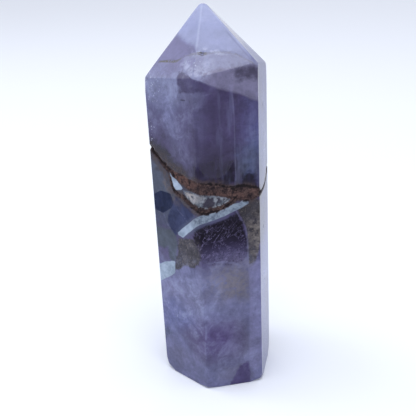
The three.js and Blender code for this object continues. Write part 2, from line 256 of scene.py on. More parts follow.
# Black fissures: under the lower arm, from the notch, up the right wall and in the vein
FISSURES = [
    [(-25.3, 44.6, 0.2), (-17, 43.9, 0.3), (-13.8, 43.7, 0.35), (-8.5, 43.4, 0.4), (-1.5, 43.7, 0.4),
     (5.8, 44.1, 0.4), (12.3, 44.6, 0.35), (16.7, 45.2, 0.35), (19.9, 45.8, 0.35), (24, 46.6, 0.3)],
    [(-80, 55.9, 0.5), (-73.8, 54.5, 0.35), (-70.9, 53.9, 0.35), (-65.6, 53, 0.35), (-61.6, 52.4, 0.3),
     (-57.2, 51.8, 0.35), (-51.7, 51.2, 0.3), (-48.4, 50.4, 0.5)],
    [(45, 46.7, 0.4), (50.4, 46.3, 0.3), (61.9, 45.9, 0.25), (77.5, 45.9, 0.3), (87.4, 46.3, 0.3),
     (91.8, 47.4, 0.25), (99.8, 48.4, 0.45)],
    [(-14, 50.2, 0.3), (-4, 49.9, 0.5), (6, 49.4, 0.3), (16, 48.8, 0.3), (25, 48.9, 0.5), (34, 48.6, 0.7),
     (41, 48.1, 0.5)],
    [(19, 48.3, 0.4), (23.4, 47.8, 0.5)],
    [(30, 45.4, 0.5), (33, 45.6, 0.3)],
    [(-53, 50, 0.15), (-51.4, 48.5, 0.25), (-49.6, 47.2, 0.25), (-44, 46.9, 0.15)],
]


def outward(azimuth):
    angle = math.radians(azimuth)
    return Vector((math.sin(angle), -math.cos(angle), 0))


def face_through(a, b, c):
    """(outward normal, distance from the origin) of the face through three corners."""
    normal = (b - a).cross(c - a).normalized()
    inside = Vector((0, 0, POINT.z / 2))
    if normal.dot(inside - a) > 0:
        normal.negate()
    return normal, normal.dot(a)


def tower_corners():
    feet = [
        outward(FIRST_EDGE + 60 * i) * CORNER_RADIUS + Vector((*move, 0))
        for i, move in enumerate(CORNER_MOVES)
    ]
    shoulders = [Vector((foot.x, foot.y, z)) for foot, z in zip(feet, SHOULDERS)]
    shoulders[0] += LEFT_LEAN
    return feet, shoulders


def tower_faces():
    feet, shoulders = tower_corners()
    faces = [(Vector((0, 0, -1)), 0.0)]
    for i in range(6):
        j = (i + 1) % 6
        faces.append(face_through(feet[i], feet[j], shoulders[j]))
        faces.append(face_through(shoulders[i], shoulders[j], POINT))
    return faces


def corner_middles(faces, radius):
    """The faces move in by the radius: wherever three of them meet is the middle of a ball that
    touches all three. Gives each middle with its three faces."""
    normals = np.array([n for n, _ in faces])
    inner = np.array([distance - radius for _, distance in faces])
    for three in itertools.combinations(range(len(faces)), 3):
        rows = list(three)
        if abs(np.linalg.det(normals[rows])) < 1e-6:
            continue
        middle = np.linalg.solve(normals[rows], inner[rows])
        if (normals @ middle - inner).max() < 1e-6:
            yield middle, rows


def ball_part(middle, radius, normals):
    """Points on a ball between the places where it touches two or three faces."""
    points = []
    for shares in itertools.product(range(ROUNDING_STEPS + 1), repeat=len(normals)):
        if sum(shares) == ROUNDING_STEPS:
            way = np.array(shares) @ normals
            points.append(middle + radius * way / np.linalg.norm(way))
    return points


def foot_corners(faces):
    """Each lies between the foot and the two walls that meet at its edge."""
    foot, walls = faces[0], faces[1::2]
    points = []
    for i, radius in enumerate(FOOT_RADII):
        three = [foot, walls[i], walls[i - 1]]
        normals = np.array([n for n, _ in three])
        middle = np.linalg.solve(normals, [distance - radius for _, distance in three])
        points += ball_part(middle, radius, normals)
    return points


def top_corners(faces):
    normals = np.array([n for n, _ in faces])
    points = []
    for middle, rows in corner_middles(faces, TOP_RADIUS):
        if middle[2] > POINT.z / 2:
            points += ball_part(middle, TOP_RADIUS, normals[rows])
    return points


def rounded_edges(faces):
    """The ends of each long edge's narrow rounding."""
    normals = np.array([n for n, _ in faces])
    ends = {}
    for middle, rows in corner_middles(faces, EDGE_RADIUS):
        for pair in itertools.combinations(rows, 2):
            ends.setdefault(pair, []).append(middle)
    points = []
    for pair, middles in ends.items():
        a, b = max(
            itertools.combinations_with_replacement(middles, 2),
            key=lambda two: np.linalg.norm(two[0] - two[1]),
        )
        length = np.linalg.norm(b - a)
        if length > 2 * EDGE_BLEND:
            inward = (b - a) / length * EDGE_BLEND
            for middle in (a + inward, b - inward):
                points += ball_part(middle, EDGE_RADIUS, normals[list(pair)])
    return points


def tower_hull():
    """A tree of the smooth rounded tower that rays can be cast at."""
    faces = tower_faces()
    bm = bmesh.new()
    for point in [*foot_corners(faces), *top_corners(faces), *rounded_edges(faces)]:
        bm.verts.new(point)
    bmesh.ops.remove_doubles(bm, verts=bm.verts[:], dist=1e-4)
    hull = bmesh.ops.convex_hull(bm, input=bm.verts[:])
    spare = {*hull["geom_interior"], *hull["geom_unused"]}
    bmesh.ops.delete(bm, geom=[v for v in spare if v.is_valid], context="VERTS")
    bmesh.ops.recalc_face_normals(bm, faces=bm.faces[:])
    tree = BVHTree.FromBMesh(bm)
    bm.free()
    return tree


def spaced(start, stop, step):
    """Evenly spaced numbers from start up to, but without, stop."""
    return list(np.linspace(start, stop, max(1, round((stop - start) / step)), endpoint=False))


# The skin's grid. Its columns run up the walls and its rings go round them. Both are close together
# along the edges, which they follow, and rings are close where there is relief.
COLUMNS = [(0, 1.5, 0.3), (1.5, 5, 0.9), (5, 55, 1.15), (55, 58.5, 0.9), (58.5, 60, 0.3)]
FOOT_MIDDLE = 8.0  # the lowest rings are cast from this height
FOOT_RINGS = [9, 6, 4, 2.4, 1.4, 0.8, 0.5, 0.35, 0.25, 0.17, 0.1, 0.05]  # in from the rim
LOW_RINGS = [0.05, 0.1, 0.17, 0.25, 0.35, 0.5, 0.8, 1.2, 1.8, 2.6, 3.5, 4.6, 5.8, 7.0]  # above it
WALL_RINGS = [(8, 42, 0.5), (42, 58, 0.27), (58, 69.5, 0.7), (69.5, 70.7, 0.3)]
SHOULDER_RINGS = [(70.7, 72.9, 0.12), (72.9, 77.2, 0.26)]
POINT_LEANS = [(0, 45, 3.5), (45, 90, 2.5)]
FOLLOW_FROM, FOLLOW_FULL, FOLLOW_TO = 62, 70, 77.2


def grid_columns():
    """Places round the tower in sixths of a turn from the left edge."""
    return [i + share / 60 for i in range(6) for s in COLUMNS for share in spaced(*s)]


def edge_azimuths(height):
    feet, shoulders = tower_corners()
    found = []
    for foot, shoulder in zip(feet, shoulders):
        corner = foot.lerp(shoulder, min(1, height / shoulder.z))
        found.append(math.degrees(math.atan2(corner.x, -corner.y)) % 360)
    found[:2] = [azimuth - 360 for azimuth in found[:2]]  # the first two edges are left of the front
    return [*found, found[0] + 360]


def shoulder_height(azimuth, column):
    """Height of the fold between wall and facet."""
    shoulders = tower_corners()[1]
    a, b = shoulders[int(column)], shoulders[(int(column) + 1) % 6]
    way = outward(azimuth)
    share = (a.x * way.y - a.y * way.x) / ((a.x - b.x) * way.y - (a.y - b.y) * way.x)
    return a.z + (b.z - a.z) * min(max(share, 0), 1)


def wall_distance(azimuth, height, faces):
    """How far out the nearest of the walls on this side is at a height."""
    way = outward(azimuth)
    walls = [(n, distance) for n, distance in faces if abs(n.z) < 0.1 and n.dot(way) > 0.1]
    return min((distance - n.z * height) / n.dot(way) for n, distance in walls)


def on_axis(height):
    """The middle of the tower, which moves over to the point above the shoulder."""
    share = max(0.0, (height - MEAN_SHOULDER) / (POINT.z - MEAN_SHOULDER))
    return Vector((POINT.x * share, POINT.y * share, height))


def grid_rays(faces):
    """(start, direction) of the rays whose hits are the skin's corners, ring by ring."""
    columns = grid_columns()
    rings = []
    low = edge_azimuths(0)
    low_ways = [(outward(a), wall_distance(a, 0, faces)) for a in np.interp(columns, range(7), low)]
    start = Vector((0, 0, FOOT_MIDDLE))
    for inset in FOOT_RINGS:
        rings.append([(start, way * (r - inset) - start) for way, r in low_ways])
    for height in LOW_RINGS:
        rings.append([(start, way * r + Vector((0, 0, height)) - start) for way, r in low_ways])
    for height in [z for s in (*WALL_RINGS, *SHOULDER_RINGS) for z in spaced(*s)]:
        follow = np.interp(height, (FOLLOW_FROM, FOLLOW_FULL, MEAN_SHOULDER + 1, FOLLOW_TO), (0, 1, 1, 0))
        ring = []
        for azimuth, column in zip(np.interp(columns, range(7), edge_azimuths(height)), columns):
            fold = shoulder_height(azimuth, column) - MEAN_SHOULDER
            ring.append((on_axis(height + follow * fold), outward(azimuth)))
        rings.append(ring)
    fan = on_axis(FOLLOW_TO)
    axis = (POINT - fan).normalized()
    high = [outward(a) for a in np.interp(columns, range(7), edge_azimuths(FOLLOW_TO))]
    for lean in [math.radians(a) for s in POINT_LEANS for a in spaced(*s)]:
        rings.append([(fan, way * math.cos(lean) + axis * math.sin(lean)) for way in high])
    rings.append([(start, Vector((0, 0, -1))), (fan, axis)])
    return rings


def cast_skin(tree):
    """The grid's points on the smooth tower and their outward normals, ring by ring, then two poles."""
    rings = grid_rays(tower_faces())
    points, normals = [], []
    for start, way in itertools.chain(*rings):
        place, normal, _, _ = tree.ray_cast(start, way.normalized())
        points.append(place)
        normals.append(-normal if normal.dot(way) < 0 else normal)
    return np.array(points), np.array(normals), len(rings) - 1, len(rings[0])


def skin_faces(ring_count, column_count):
    faces = []
    foot, point = ring_count * column_count, ring_count * column_count + 1
    last = (ring_count - 1) * column_count
    for c in range(column_count):
        d = (c + 1) % column_count
        faces.append((foot, d, c))
        faces.append((last + c, last + d, point))
        for r in range(ring_count - 1):
            low, high = r * column_count, (r + 1) * column_count
            faces.append((low + c, low + d, high + d, high + c))
    return faces


class Unrolled:
    """The tower's skin laid flat: how far round it each point is, in millimetres from the front, and
    its height. The way round is measured along the walls, so nothing is stretched there."""

    def __init__(self, tree, points):
        self.azimuths = np.arange(0, 361, 1.0)
        middle = Vector((0, 0, RIM_HEIGHT))
        rim = np.array([tree.ray_cast(middle, outward(a))[0] for a in self.azimuths])
        steps = np.linalg.norm(np.diff(rim, axis=0), axis=1)
        self.arcs = np.concatenate([[0], np.cumsum(steps)])
        self.length = self.arcs[-1]
        self.round = self.arc(np.degrees(np.arctan2(points[:, 0], -points[:, 1])))
        self.height = points[:, 2]

    def arc(self, azimuth):
        azimuth = np.asarray(azimuth, float)
        turns = np.floor(azimuth / 360)
        return np.interp(azimuth - 360 * turns, self.azimuths, self.arcs) + turns * self.length

    def across(self, arc):
        """How far each point is to the right of an arc, the shorter way round."""
        half = self.length / 2
        return (self.round - arc + half) % self.length - half

    def from_place(self, azimuth, height):
        """How far each point of the skin is from a place, round the tower and up it."""
        return self.across(self.arc(azimuth)), self.height - height

    def to_route(self, stops):
        """How far each point is from a route's middle, and the route's width there."""
        ends = np.array([(self.arc(a), h, w) for a, h, w in stops])
        line = smooth_line(ends, SMOOTH)
        nearest = np.full(len(self.height), np.inf)
        width = np.full(len(self.height), ends[0, 2])
        for a, b in zip(line[:-1], line[1:]):
            share, gap = to_length(self.across(a[0]), self.height - a[1], *(b - a)[:2])
            closer = gap < nearest
            nearest[closer] = gap[closer]
            width[closer] = a[2] + share[closer] * (b[2] - a[2])
        return nearest, width

    def to_outline(self, corners, step):
        """How far each point is from a closed outline, less than nothing inside it. The outline is
        smooth, in lengths of this step, or has straight sides where the step is longer than they are."""
        centre = self.arc(sum(c[0] for c in corners) / len(corners))
        across = self.across(centre)
        ring = np.array([(self.arc(a) - centre, h, 0) for a, h in corners])
        line = smooth_line(np.vstack([ring, ring[:1]]), step)
        nearest = np.full(len(across), np.inf)
        inside = np.zeros(len(across), bool)
        for a, b in zip(line[:-1], line[1:]):
            run, rise = (b - a)[:2]
            x, y = across - a[0], self.height - a[1]
            nearest = np.minimum(nearest, to_length(x, y, run, rise)[1])
            if rise:
                crosses = (a[1] <= self.height) != (b[1] <= self.height)
                inside ^= crosses & (x < y * run / rise)
        return np.where(inside, -nearest, nearest)


def to_length(x, y, run, rise):
    """How far along a straight length each point is, as a share of it, and how far from it."""
    share = np.clip((x * run + y * rise) / (run * run + rise * rise), 0, 1)
    return share, np.hypot(x - share * run, y - share * rise)


def smooth_line(stops, step):
    """A Catmull-Rom line through the stops, in short straight lengths."""
    out = []
    for i in range(len(stops) - 1):
        before, a = stops[max(i - 1, 0)], stops[i]
        b, after = stops[i + 1], stops[min(i + 2, len(stops) - 1)]
        count = max(1, round(np.hypot(*(b - a)[:2]) / step))
        for t in np.arange(count) / count:
            along = (b - before) * t
            bend = (2 * before - 5 * a + 4 * b - after) * t * t
            twist = (3 * a - before - 3 * b + after) * t**3
            out.append(0.5 * (2 * a + along + bend + twist))
    return np.array([*out, stops[-1]])


def grain(points, size, seed):
    """Smooth noise from about -1 to 1 at each point, its lumps as big as size."""
    offset = Vector((seed * 17.3, seed * -9.1, seed * 5.7))
    return np.array([noise.noise(Vector(p) / size + offset) for p in points])


def slope(value, low, high):
    """0 up to low and 1 from high, smooth between them."""
    t = np.clip((value - low) / (high - low), 0, 1)
    return t * t * (3 - 2 * t)


# Each kind of trough: its depth, where its bank begins and ends in from its rim, and how rough it is
TROUGHS = {
    "vein": (0.28, -0.05, 0.35, 1),
    "arm": (0.2, -0.05, 0.35, 1),
    "crack": (0.08, -0.1, 0.15, 0),
    "hairline": (0.1, -0.1, 0.12, 0),
}

# Lumps in the bed of a rough trough: their size, their height and the noise's seed
LUMPS = [(0.9, 0.25, 1), (0.35, 0.15, 2)]

# Pits all along the vein and in a slanting drift low on the left wall: how many, and their half widths.
# A pit's bank rises from its floor to its rim, in shares of its half width.
VEIN_PITS, VEIN_PIT_SIZES = 60, (0.2, 0.42)
DRIFT_PITS, DRIFT_PIT_SIZES = 9, (0.12, 0.2)
DRIFT_FROM, DRIFT_TO = (-75, 19.0), (-63, 15.2)
PIT_FLOOR, PIT_RIM = 0.35, 1.05


def pits():
    """Every chip and pit: azimuth, height, half width, half height and depth."""
    dice = random.Random(11)
    found = [*CHIPS]
    stops = np.array(VEIN)
    for i in range(VEIN_PITS):
        azimuth = VEIN[0][0] + 360 * (i + dice.random()) / VEIN_PITS
        height = np.interp(azimuth, stops[:, 0], stops[:, 1])
        width = np.interp(azimuth, stops[:, 0], stops[:, 2])
        size = dice.uniform(*VEIN_PIT_SIZES)
        height += dice.uniform(-0.45, 0.45) * width
        found.append((azimuth, height, size * dice.uniform(1, 1.7), size * 0.8, dice.uniform(0.3, 0.5)))
    for i in range(DRIFT_PITS):
        share = (i + dice.random()) / DRIFT_PITS
        azimuth = DRIFT_FROM[0] + share * (DRIFT_TO[0] - DRIFT_FROM[0])
        height = DRIFT_FROM[1] + share * (DRIFT_TO[1] - DRIFT_FROM[1]) + dice.uniform(-0.5, 0.5)
        size = dice.uniform(*DRIFT_PIT_SIZES)
        found.append((azimuth, height, size, size, 0.1))
    return found


def relief(flat, points, marks):
    """How deep each point of the skin lies under the smooth tower."""
    rough = sum(grain(points, size, seed) * high for size, high, seed in LUMPS)
    depth = np.zeros(len(points))
    for name, (full, outer, inner, roughness) in TROUGHS.items():
        ragged = rough * roughness
        bed = slope(-(marks[name] + ragged), outer, inner)
        depth = np.maximum(depth, bed * full * (1 + 0.9 * ragged))
    for azimuth, height, wide, high, deep in pits():
        across, up = flat.from_place(azimuth, height)
        reach = np.hypot(across / wide, up / high)
        depth = np.maximum(depth, deep * (1 - slope(reach, PIT_FLOOR, PIT_RIM)))
    return depth


ROUTES = {
    "vein": [VEIN],
    "arm": [LOWER_ARM],
    "crack": [SHOULDER_CRACK],
    "hairline": HAIRLINES,
    "pale_line": PALE_LINES,
    "fissure": FISSURES,
}
OUTLINES = {
    "bar": WHITE_BARS,
    "patch": [WHITE_PATCH],
    "lens": [LENS],
    "lens_spot": LENS_SPOTS,
    "brown": BROWN,
    "night": NIGHT,
    "dark_by_vein": DARK_BY_VEIN,
    "halo": HALO,
    "hexagon": [HEXAGON],
    "slate": SLATE,
    "green_grey": GREEN_GREY,
    "block": BLOCKS,
    "mirror": MIRROR,
    "low_mirror": [LOW_MIRROR],
    "dim_mirror": [DIM_MIRROR],
    "facet_shade": FACET_SHADE,
    "lilac": LILAC,
    "foot_violet": FOOT_VIOLET,
}
STRAIGHT_SIDED = {"bar", "patch", "hexagon", "slate", "block", "facet_shade"}
SMOOTH, STRAIGHT = 1.0, 1e3  # the lengths that a line is drawn in, the second longer than any side
FAR = 6.0  # no look depends on a marking further away than this
RIM_HEIGHT = 40  # where the way round the tower is measured


def markings(flat):
    """Signed distances in millimetres from each kind of marking, less than nothing inside it."""
    marks = {}
    for name, several in ROUTES.items():
        found = [gap - width / 2 for gap, width in map(flat.to_route, several)]
        marks[name] = np.minimum(np.min(found, axis=0), FAR)
    for name, several in OUTLINES.items():
        step = STRAIGHT if name in STRAIGHT_SIDED else SMOOTH
        found = [flat.to_outline(corners, step) for corners in several]
        marks[name] = np.minimum(np.min(found, axis=0), FAR)
    return marks


def edge_gap(points):
    """How far each point is from the nearest of the tower's edges."""
    feet, shoulders = tower_corners()
    nearest = np.full(len(points), FAR)
    for i in range(6):
        beside = shoulders[(i + 1) % 6]
        for a, b in ((feet[i], shoulders[i]), (shoulders[i], beside), (shoulders[i], POINT)):
            start, way = np.array(a), np.array(b) - np.array(a)
            share = np.clip((points - start) @ way / (way @ way), 0, 1)
            gap = np.linalg.norm(points - start - share[:, None] * way, axis=1)
            nearest = np.minimum(nearest, gap)
    return nearest


def added(name, data):
    """A new object in the scene that holds this mesh, lamp or lens."""
    made = bpy.data.objects.new(name, data)
    bpy.context.scene.collection.objects.link(made)
    return made


def make_crystal():
    tree = tower_hull()
    points, normals, ring_count, column_count = cast_skin(tree)
    flat = Unrolled(tree, points)
    marks = markings(flat)
    marks["edge"] = edge_gap(points)
    carved = points - normals * relief(flat, points, marks)[:, None]
    carved = np.clip(carved, *(np.array(corner) / MM for corner in cad_box))
    mesh = bpy.data.meshes.new("polished_crystal")
    mesh.from_pydata((carved * MM).tolist(), [], skin_faces(ring_count, column_count))
    mesh.polygons.foreach_set("use_smooth", [True] * len(mesh.polygons))
    for name, values in marks.items():
        mesh.attributes.new(name, "FLOAT", "POINT").data.foreach_set("value", values)
    mesh.validate()
    return added("polished_crystal", mesh)


def colour(red, green, blue):
    """A colour as it looks on a screen, from 0 to 255, as the light that a shader works in."""

    def light(value):
        share = value / 255
        return share / 12.92 if share <= 0.04045 else ((share + 0.055) / 1.055) ** 2.4

    return (light(red), light(green), light(blue), 1.0)


class Wire:
    """A node's output. Sums written with it add their own Math nodes, and | joins two masks."""

    def __init__(self, recipe, socket):
        self.recipe, self.socket = recipe, socket

    def math(self, operation, *others):
        sockets = dict(enumerate((self, *others)))
        return self.recipe.node("ShaderNodeMath", {"operation": operation}, sockets)

    def __add__(self, other):
        return self.math("ADD", other)

    __radd__ = __add__

    def __mul__(self, other):
        return self.math("MULTIPLY", other)

    __rmul__ = __mul__

    def __sub__(self, other):
        return self.math("SUBTRACT", other)

    def __rsub__(self, other):
        return self * -1 + other

    def __or__(self, other):
        return self.math("MAXIMUM", other)

    __ror__ = __or__

    def __abs__(self):
        return self.math("ABSOLUTE")

    def between(self, low, high):
        """0 up to low and 1 from high, or the other way round if low is the higher."""
        falling = low > high
        sockets = dict(enumerate((self, *sorted((low, high)), float(falling), float(not falling))))
        return self.recipe.node("ShaderNodeMapRange", {"interpolation_type": "SMOOTHSTEP"}, sockets)

    def tinted(self, share, tint):
        """This colour with a share of a tint, or of another wire's colour, over it."""
        over = tint if isinstance(tint, Wire) else colour(*tint)
        return self.recipe.node("ShaderNodeMix", {"data_type": "RGBA"}, {0: share, 6: self, 7: over}, 2)


class Recipe:
    """The node tree of a material or of the sky, written as expressions."""

    def __init__(self, owner):
        owner.use_nodes = True
        self.tree = owner.node_tree
        self.tree.nodes.clear()

    def node(self, kind, settings=None, sockets=None, output=0):
        """Adds a node: its settings first, then what its sockets hold or are linked to."""
        made = self.tree.nodes.new(kind)
        for name, value in (settings or {}).items():
            if name == "stops":
                for _ in range(len(value) - 2):
                    made.color_ramp.elements.new(0.5)
                for element, (place, tint) in zip(made.color_ramp.elements, value):
                    element.position, element.color = place, colour(*tint)
            else:
                setattr(made, name, value)
        for name, value in (sockets or {}).items():
            if isinstance(value, Wire):
                self.tree.links.new(value.socket, made.inputs[name])
            else:
                made.inputs[name].default_value = value
        return Wire(self, made.outputs[output]) if made.outputs else None

    def vector(self, operation, *others, output=0):
        """Vector Math. Output 1 is the number that a dot product gives."""
        sockets = dict(enumerate(others))
        return self.node("ShaderNodeVectorMath", {"operation": operation}, sockets, output)

    def scaled(self, vector, factor):
        return self.node("ShaderNodeVectorMath", {"operation": "SCALE"}, {0: vector, 3: factor})

    def noise(self, place, size, detail=3.0, roughness=0.5, bend=0.0, output=0):
        """Noise with lumps of about this size in millimetres."""
        sockets = {
            "Vector": place,
            "Scale": 1 / size,
            "Detail": detail,
            "Roughness": roughness,
            "Distortion": bend,
        }
        return self.node("ShaderNodeTexNoise", None, sockets, output)

    def ramp(self, factor, *stops):
        """A tint that changes with the factor, from stops of place and tint."""
        return self.node("ShaderNodeValToRGB", {"stops": stops}, {0: factor})

    def mark(self, name):
        """The distance in millimetres from a kind of marking."""
        return self.node("ShaderNodeAttribute", {"attribute_name": name}, None, 2)

    def bumps(self, strength, size, height):
        """A normal with bumps of up to this size in millimetres."""
        sockets = {"Strength": strength, "Distance": size * MM, "Height": height}
        return self.node("ShaderNodeBump", None, sockets)

    def shader(self, tint, roughness, more=None):
        """A Principled shader, with what more of its sockets hold."""
        sockets = {"Base Color": tint, "Roughness": roughness, **(more or {})}
        return self.node("ShaderNodeBsdfPrincipled", None, sockets)


# A zone's middle lies this far from the axis, and its half depth is the same in all of them
ZONE_RADIUS, ZONE_DEPTH = 11.5, 5


class Stone(Recipe):
    """The banded stone's recipe, with the places and the noise that all its parts share."""

    def __init__(self, material):
        super().__init__(material)
        spot = self.node("ShaderNodeTexCoord", None, None, 3)
        place = self.place = self.scaled(spot, 1 / MM)
        self.height = self.node("ShaderNodeSeparateXYZ", None, {0: place}, 2)
        upright = self.vector("MULTIPLY", place, (1, 1, 0.12))
        slant = {0: place, 2: (0.2, 0.75, 0.3), 3: (1, 1, 4)}
        slanting = self.node("ShaderNodeMapping", {"vector_type": "TEXTURE"}, slant)

        # Broad clouds, cottony tufts, grain, upright streaks, slanting fibres and thin hairs
        self.clouds = self.noise(place, 8.0, detail=5, roughness=0.55)
        self.cotton = self.noise(place, 3.2, detail=8, roughness=0.66, bend=0.5)
        self.fine = self.noise(place, 0.9, detail=6, roughness=0.66)
        self.grit = self.noise(place, 0.3, detail=3)
        self.ragged = self.noise(place, 1.8, detail=8, roughness=0.75, bend=1.5)
        self.streaks = self.noise(upright, 1.6, detail=4, roughness=0.5)
        self.fibres = self.noise(slanting, 0.9, detail=6, roughness=0.66, bend=0.9)
        self.hairs = self.noise(slanting, 1.5, detail=3, roughness=0.55, bend=0.8)

        # What pushes the outline of a cloud about, and what makes an edge ragged or torn
        drift = self.noise(place, 3.6, detail=6, roughness=0.6, output=1)
        drift = self.scaled(self.vector("SUBTRACT", drift, (0.5, 0.5, 0.5)), 6.0)
        self.warped = self.vector("ADD", place, drift)
        self.rag = (self.fine - 0.5) * 1.6
        self.tatter = (self.cotton - 0.5) * 7

    def edged(self, name, rough=0.3, soft=0.12, torn=0.0):
        """A marking's mask: how finely ragged, how soft and how coarsely torn its edge is."""
        return (self.mark(name) + self.rag * rough + self.tatter * torn).between(soft, -soft)

    def oval(self, azimuth, height, wide, high, tilt=0.0, soft=0.5, place=None):
        """A soft egg-shaped zone in the stone, 1 in its middle: half sizes in millimetres."""
        middle = outward(azimuth) * ZONE_RADIUS + Vector((0, 0, height))
        turn = Euler((0, math.radians(tilt), math.radians(azimuth))).to_matrix()
        reach = 0
        for i, size in enumerate((wide, ZONE_DEPTH, high)):
            way = turn.col[i] / size
            part = self.vector("DOT_PRODUCT", place or self.place, way, output=1) - way.dot(middle)
            reach = part * part + reach
        return reach.math("SQRT").between(1 + soft, max(0.0, 1 - soft))

    def cloud(self, *oval, **more):
        """An oval whose outline drifts."""
        return self.oval(*oval, place=self.warped, **more)


# Tints of the stone as they look on a screen, from the palest to the darkest
SNOW = (192, 202, 240)
ICE = (176, 187, 230)
FROST = (166, 175, 212)
PALE = (142, 145, 182)
PERIWINKLE = (106, 120, 178)
COOL = (103, 119, 184)
LAVENDER = (124, 129, 170)
HAZE = (112, 115, 156)
SAND = (120, 115, 124)
SMOKE = (106, 104, 128)
BLUE_GREY = (84, 95, 114)
VIOLET = (92, 88, 130)
SLATE_BLUE = (70, 81, 106)
ROYAL = (84, 72, 126)
PURPLE = (72, 62, 108)
PLUM = (54, 46, 80)
INK = (26, 22, 34)

# The stone's colour by height, from the foot up, under everything else. The point's pale tints are
# partly milky quartz and partly a painted reflection of the bright sky on its facets
LAYERS = [
    (0, LAVENDER), (10, HAZE), (20, LAVENDER), (28, HAZE), (32, VIOLET), (40, PURPLE), (48, PLUM), (54, PLUM),
    (60, PURPLE), (67, PURPLE), (71, VIOLET), (73, PALE), (77, FROST), (80, ICE), (84, SNOW),
]

# Cloudy colour zones, painted in this order:
# azimuth, height, half width, half height, tilt, softness, colour, strength
ZONES = [
    (-60, 68.6, 10, 3.8, 0, 0.5, FROST, 0.85),
    (-52, 63, 10, 4.5, 0, 0.6, HAZE, 0.7),
    (-62, 58, 8, 4.5, -20, 0.6, VIOLET, 0.6),
    (-40, 60, 2.6, 10, -25, 0.7, LAVENDER, 0.5),
    (-24, 63, 3.2, 7, 0, 0.5, VIOLET, 0.7),
    (-27, 54, 4, 3.2, 0, 0.6, VIOLET, 0.6),
    (13, 60, 3.4, 10, 0, 0.6, PLUM, 0.45),
    (41, 54.5, 2.4, 5, 8, 0.5, BLUE_GREY, 0.8),
    (33, 62, 3, 4, 0, 0.7, PURPLE, 0.5),
    (-62, 45, 9, 5, 0, 0.3, SLATE_BLUE, 0.8),
    (-68, 49.2, 6.5, 4, 12, 0.4, BLUE_GREY, 0.85),
    (-68, 40.2, 7, 2.8, 0, 0.5, SLATE_BLUE, 0.8),
    (-74, 30.6, 3.4, 2.6, 0, 0.5, VIOLET, 0.9),
    (-52, 26, 9, 4, 0, 0.6, LAVENDER, 0.8),
    (-40, 19, 11, 8, 0, 0.6, LAVENDER, 0.6),
    (-29, 22.5, 6.5, 3.6, 20, 0.8, PALE, 0.5),
    (-66, 22.5, 3.2, 2.6, 0, 0.6, PALE, 0.5),
    (-56, 14, 7, 6, 0, 0.6, PERIWINKLE, 0.5),
    (4, 52.5, 7, 2.4, 0, 0.7, INK, 0.5),
    (2, 28, 6, 3, 0, 0.6, LAVENDER, 0.5),
    (22, 27.6, 6, 3.8, -8, 0.9, SAND, 0.9),
    (29, 23.2, 4.2, 3.8, 0, 0.9, SAND, 0.9),
    (24, 77.2, 8, 2, 0, 0.7, ICE, 0.5),
    (-50, 8.5, 8, 4, 0, 0.7, PALE, 0.35),
    (36, 9.5, 5, 4, 0, 0.7, PALE, 0.35),
    (22, 14, 5, 6, 0, 0.8, SMOKE, 0.5),
    (8, 19.5, 7, 2.6, -10, 0.6, LAVENDER, 0.7),
    (-8, 12.4, 6.2, 4.8, 0, 0.7, ROYAL, 0.95),
    (-78, 10.2, 1.4, 1.3, 0, 0.5, SLATE_BLUE, 0.8),
    (-36, 12, 3, 2.6, 0, 0.8, VIOLET, 0.7),
    (-56, 5, 3, 2.4, 0, 0.6, SMOKE, 0.25),
    (16, 3, 4, 2.4, 20, 0.6, SMOKE, 0.6),
    (-26, 3, 6, 2.6, 0, 0.7, LAVENDER, 0.6),
    # This cool oval and the one three lines on are partly the stone's blue and partly a painted bluish
    # reflection of the light that grazes the right wall
    (73, 60, 7, 14, 0, 0.7, COOL, 0.65),
    (86, 52, 3.4, 8, 20, 0.6, LAVENDER, 0.5),
    (60, 66, 3.4, 5, -20, 0.6, VIOLET, 0.6),
    (73, 24, 7, 16, 0, 0.7, COOL, 0.65),
    (62, 38, 3.6, 5, 10, 0.6, SLATE_BLUE, 0.7),
    (88, 18, 3.6, 5, 0, 0.6, VIOLET, 0.6),
    (130, 20, 7, 6, 15, 0.6, LAVENDER, 0.7),
    (160, 62, 8, 5, -10, 0.6, VIOLET, 0.7),
    (186, 66, 5, 4, 0, 0.6, PALE, 0.7),
    (200, 14, 8, 6, -20, 0.6, VIOLET, 0.7),
    (235, 20, 6, 7, 0, 0.6, LAVENDER, 0.7),
    (250, 50, 5, 4, 0, 0.5, BLUE_GREY, 0.7),
    (222, 64, 6, 4, 10, 0.6, HAZE, 0.6),
]

# Outlined zones, painted over the clouds:
# name, how finely ragged, how soft and how coarsely torn the edge is, colour, strength
OUTLINED = [
    ("halo", 0.6, 0.8, 0.5, (56, 56, 68), 0.85),
    ("block", 0.4, 0.3, 0.12, (62, 52, 98), 0.8),
    ("dark_by_vein", 1.0, 0.9, 0.6, (22, 17, 32), 0.9),
    ("green_grey", 0.5, 0.5, 0.3, (76, 89, 100), 0.9),
    ("slate", 0.2, 0.12, 0.0, (52, 62, 94), 0.95),
    ("hexagon", 0.05, 0.08, 0.0, (22, 36, 66), 0.97),
    ("lilac", 0.4, 0.3, 0.1, (134, 136, 178), 0.8),
    ("foot_violet", 0.4, 0.35, 0.1, (76, 66, 122), 0.85),
    # the three mirror zones below are a painted reflection of the healed break behind the shoulder
    ("mirror", 0.1, 0.12, 0.0, (154, 158, 190), 0.85),
    ("low_mirror", 0.2, 0.3, 0.1, (132, 128, 162), 0.85),
    ("dim_mirror", 0.9, 1.0, 0.6, (66, 61, 90), 0.85),
]

